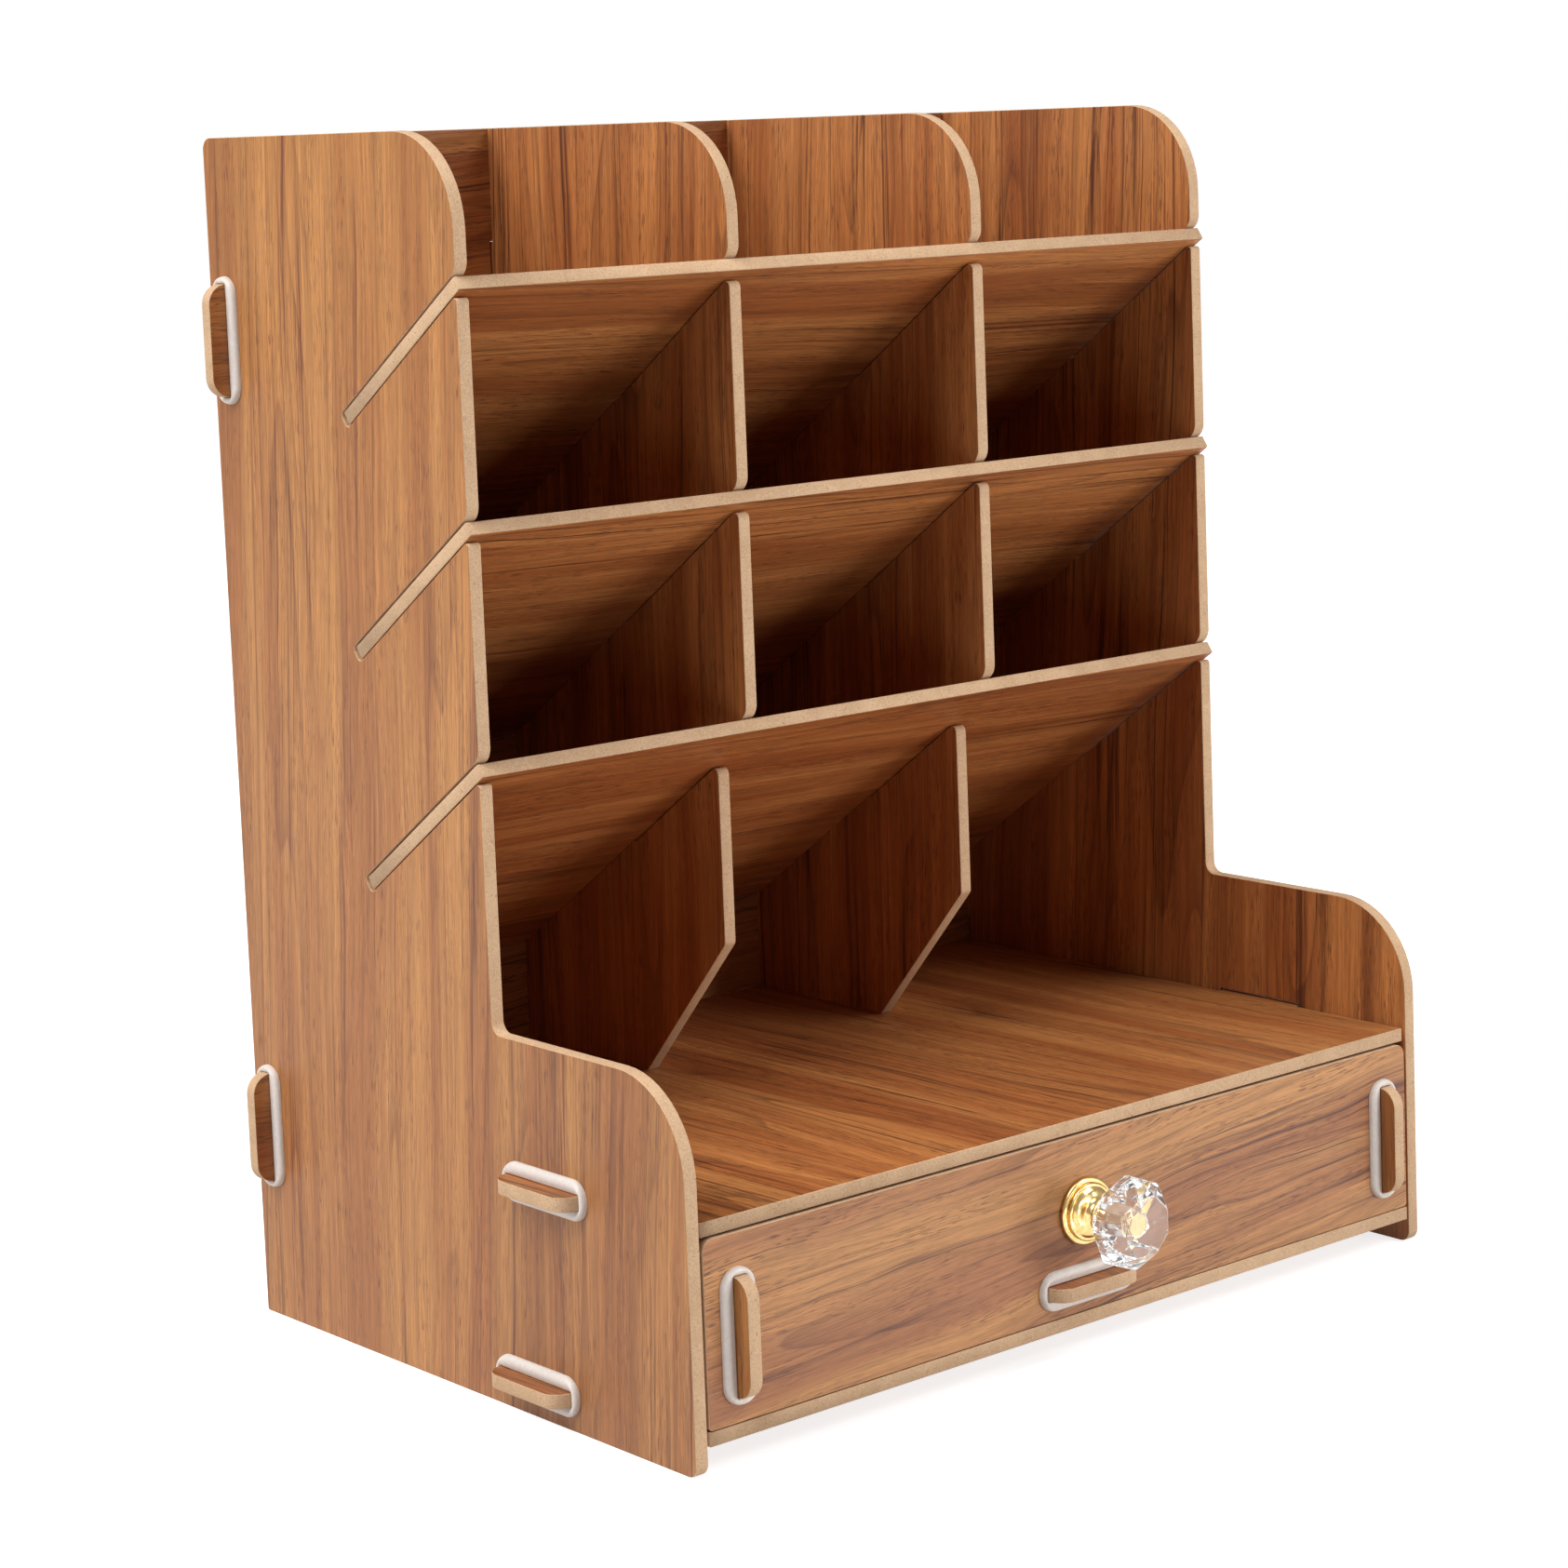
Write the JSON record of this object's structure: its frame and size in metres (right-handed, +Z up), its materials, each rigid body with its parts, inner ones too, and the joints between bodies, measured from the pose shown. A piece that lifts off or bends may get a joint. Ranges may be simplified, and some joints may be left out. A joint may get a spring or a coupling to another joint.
{
  "type": "pen holder",
  "caption": "Desk organizer of thin slotted boards: slanted pen compartments between arched side boards, an open tray, and a drawer with a faceted clear knob.",
  "frame": {"origin": "on the table, under the middle of the object's whole width and depth", "axes": "+X to the right as seen from the drawer front, -Y to the front, +Z up"},
  "size_m": [0.256, 0.1984, 0.3],
  "materials": {
    "upright_board": "satin wood-grain laminate with raw fibreboard edges, upright grain",
    "level_board": "satin wood-grain laminate with raw fibreboard edges, level grain",
    "white_plastic": "smooth, slightly translucent",
    "polished_gold": "polished",
    "clear_crystal": "faceted and polished"
  },
  "bodies": {
    "case": {"left_side_panel": "upright_board", "right_side_panel": "upright_board", "back_panel": "level_board", "base_panel": "level_board", "bay_top_panel": "level_board", "upper_shelf": "level_board", "middle_shelf": "level_board", "lower_shelf": "level_board", "left_divider": "upright_board", "right_divider": "upright_board", "left_side_upper_grommet": "white_plastic", "left_side_lower_grommet": "white_plastic", "left_side_tray_grommet": "white_plastic", "left_side_base_grommet": "white_plastic", "right_side_upper_grommet": "white_plastic", "right_side_lower_grommet": "white_plastic", "right_side_tray_grommet": "white_plastic", "right_side_base_grommet": "white_plastic", "left_divider_upper_grommet": "white_plastic", "left_divider_lower_grommet": "white_plastic", "right_divider_upper_grommet": "white_plastic", "right_divider_lower_grommet": "white_plastic", "back_panel_tray_grommet": "white_plastic", "back_panel_base_grommet": "white_plastic"},
    "drawer": {"drawer_front": "level_board", "drawer_back": "level_board", "drawer_left_side": "upright_board", "drawer_right_side": "upright_board", "drawer_bottom": "level_board", "drawer_front_left_grommet": "white_plastic", "drawer_front_right_grommet": "white_plastic", "drawer_front_bottom_grommet": "white_plastic", "drawer_back_left_grommet": "white_plastic", "drawer_back_right_grommet": "white_plastic", "drawer_back_bottom_grommet": "white_plastic", "drawer_left_side_grommet": "white_plastic", "drawer_right_side_grommet": "white_plastic", "knob_base": "polished_gold", "knob_crystal": "clear_crystal", "knob_screw": "polished_gold"}
  },
  "joints": [
    {"name": "drawer_slide", "type": "slide", "parent": "case", "child": "drawer", "axis": [0, -1, 0], "range_m": [0, 0.115]}
  ]
}
